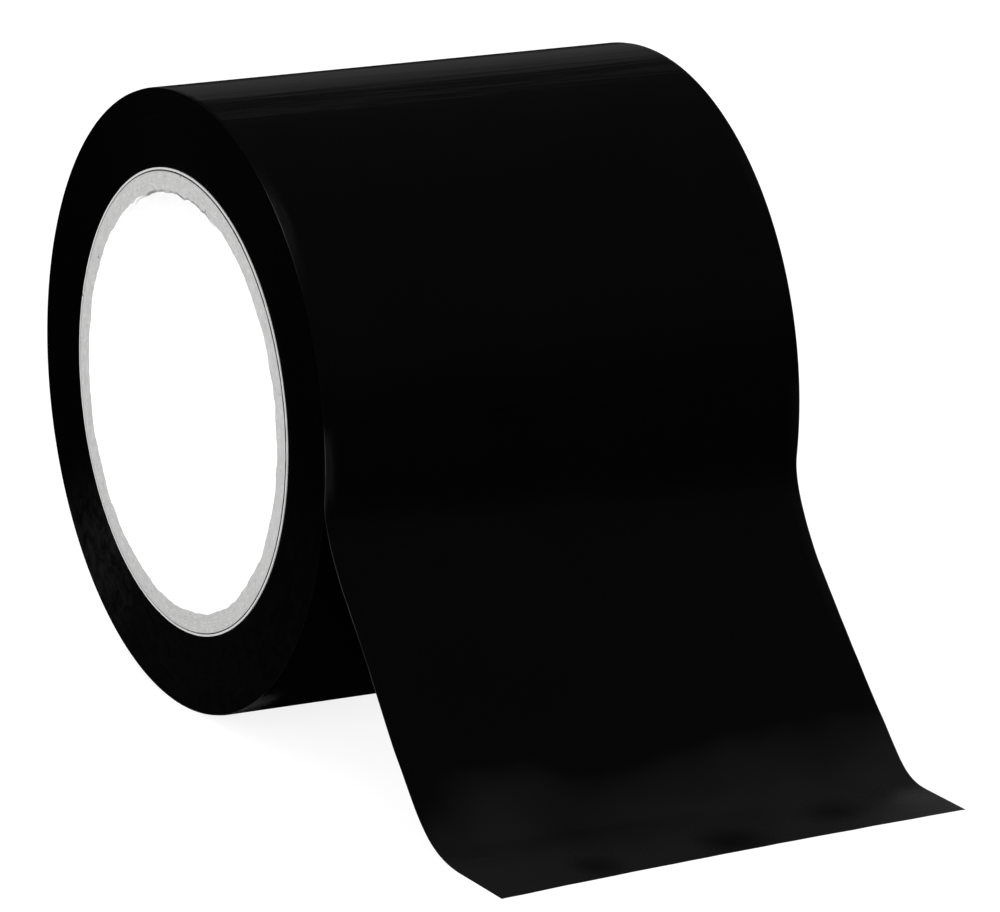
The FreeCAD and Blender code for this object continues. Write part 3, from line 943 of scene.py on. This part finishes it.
def build_floor():
    """A wide level square just under the roll and its foot."""
    size = 6.0
    level = FLOOR_Z - 0.02 * MM
    mesh = bpy.data.meshes.new("floor")
    corners = [(-size, -size), (size, -size), (size, size), (-size, size)]
    mesh.from_pydata([(x, y, level) for x, y in corners], [], [(0, 1, 2, 3)])
    mesh.materials.append(floor_material())
    floor = bpy.data.objects.new("floor", mesh)
    bpy.context.scene.collection.objects.link(floor)


# What the glossy film sees round it, by height above the horizon (the sine of the elevation): a
# pale backdrop behind the roll and along its near side, and a dim room elsewhere.
BACKDROP = (
    (0.00, 0.064),
    (0.15, 0.076),
    (0.36, 0.072),
    (0.40, 0.060),
    (0.45, 0.021),
    (0.55, 0.018),
    (0.66, 0.024),
    (0.90, 0.028),
)
ROOM = (
    (0.00, 0.009),
    (0.30, 0.017),
    (0.50, 0.026),
    (0.90, 0.028),
)
BACK = (-0.88, 0.47)  # the level direction to the backdrop


def build_world():
    """A white studio to the camera and to matt surfaces, but a dim one in glossy reflections."""
    world = bpy.data.worlds.new("studio")
    bpy.context.scene.world = world
    n = Nodes(world)
    toward = n.add("ShaderNodeTexCoord").outputs["Generated"]
    parts = n.add("ShaderNodeSeparateXYZ", Vector=toward)
    x, y, z = (parts.outputs[axis] for axis in "XYZ")
    behind = n.math("ADD", n.math("MULTIPLY", x, BACK[0]), n.math("MULTIPLY", y, BACK[1]))
    behind = n.grade(behind, 0.1, 0.55, 0.0, 1.0)
    near_side = n.grade(y, -0.1, -0.5, 0.0, 1.0)
    shown = n.math("MAXIMUM", behind, near_side)
    glossy = n.mix(shown, n.ramp(z, ROOM), n.ramp(z, BACKDROP))
    path = n.add("ShaderNodeLightPath")
    back = n.tree.nodes["Background"]
    n.put(back.inputs["Color"], n.mix(path.outputs["Is Glossy Ray"], WHITE, glossy))
    back.inputs["Strength"].default_value = 1.0


def softbox(name, place, target, size, power):
    """A rectangular light that faces a target."""
    light = bpy.data.lights.new(name, "AREA")
    light.shape = "RECTANGLE"
    light.size, light.size_y = size
    light.energy = power
    obj = bpy.data.objects.new(name, light)
    obj.location = place
    toward = Vector(target) - Vector(place)
    obj.rotation_euler = toward.to_track_quat("-Z", "Y").to_euler()
    bpy.context.scene.collection.objects.link(obj)
    return obj


def tube_light(name, start, end, width, power, target):
    """A narrow light between two points, which faces a target."""
    start, end = Vector(start), Vector(end)
    obj = softbox(name, (start + end) / 2, target, ((end - start).length, width), power)
    length = (end - start).normalized()
    facing = (obj.location - Vector(target)).normalized()
    facing = (facing - facing.dot(length) * length).normalized()
    obj.rotation_euler = Matrix((length, facing.cross(length), facing)).transposed().to_euler()
    return obj


def build_lights():
    """A soft key from the camera's side, and a faint tube behind the roll that draws one thin line
    along its top."""
    key = softbox("key", (1.3, -1.6, 0.75), (0.02, 0, 0), (1.0, 1.0), 30)
    key.visible_glossy = False
    tube_start = (-0.320, 0.119, 0.367)
    tube_end = (-0.331, 0.347, 0.312)
    tube_light("line", tube_start, tube_end, 0.030, 0.0009, (0, 0, 0.05))


def build_camera():
    """A long lens at the fitted viewpoint, looking along -X and +Y and a little down."""
    place = Vector((1070.7, -573.3, 312.5)) * MM
    yaw, pitch, roll = (math.radians(angle) for angle in (61.09, 15.11, 0.86))
    forward = math.cos(pitch)
    ahead = Vector((-math.sin(yaw) * forward, math.cos(yaw) * forward, -math.sin(pitch)))
    level = Vector((math.cos(yaw), math.sin(yaw), 0))
    up = level.cross(ahead)
    right = level * math.cos(roll) + up * math.sin(roll)
    above = up * math.cos(roll) - level * math.sin(roll)
    data = bpy.data.cameras.new("camera")
    data.lens = 245.5
    data.sensor_width = 36
    data.clip_start, data.clip_end = 0.05, 20
    camera = bpy.data.objects.new("camera", data)
    rotation = Matrix((right, above, -ahead)).transposed()
    camera.matrix_world = Matrix.Translation(place) @ rotation.to_4x4()
    bpy.context.scene.collection.objects.link(camera)
    bpy.context.scene.camera = camera


build_floor()
build_world()
build_lights()
build_camera()
bpy.context.scene.view_settings.view_transform = "Standard"
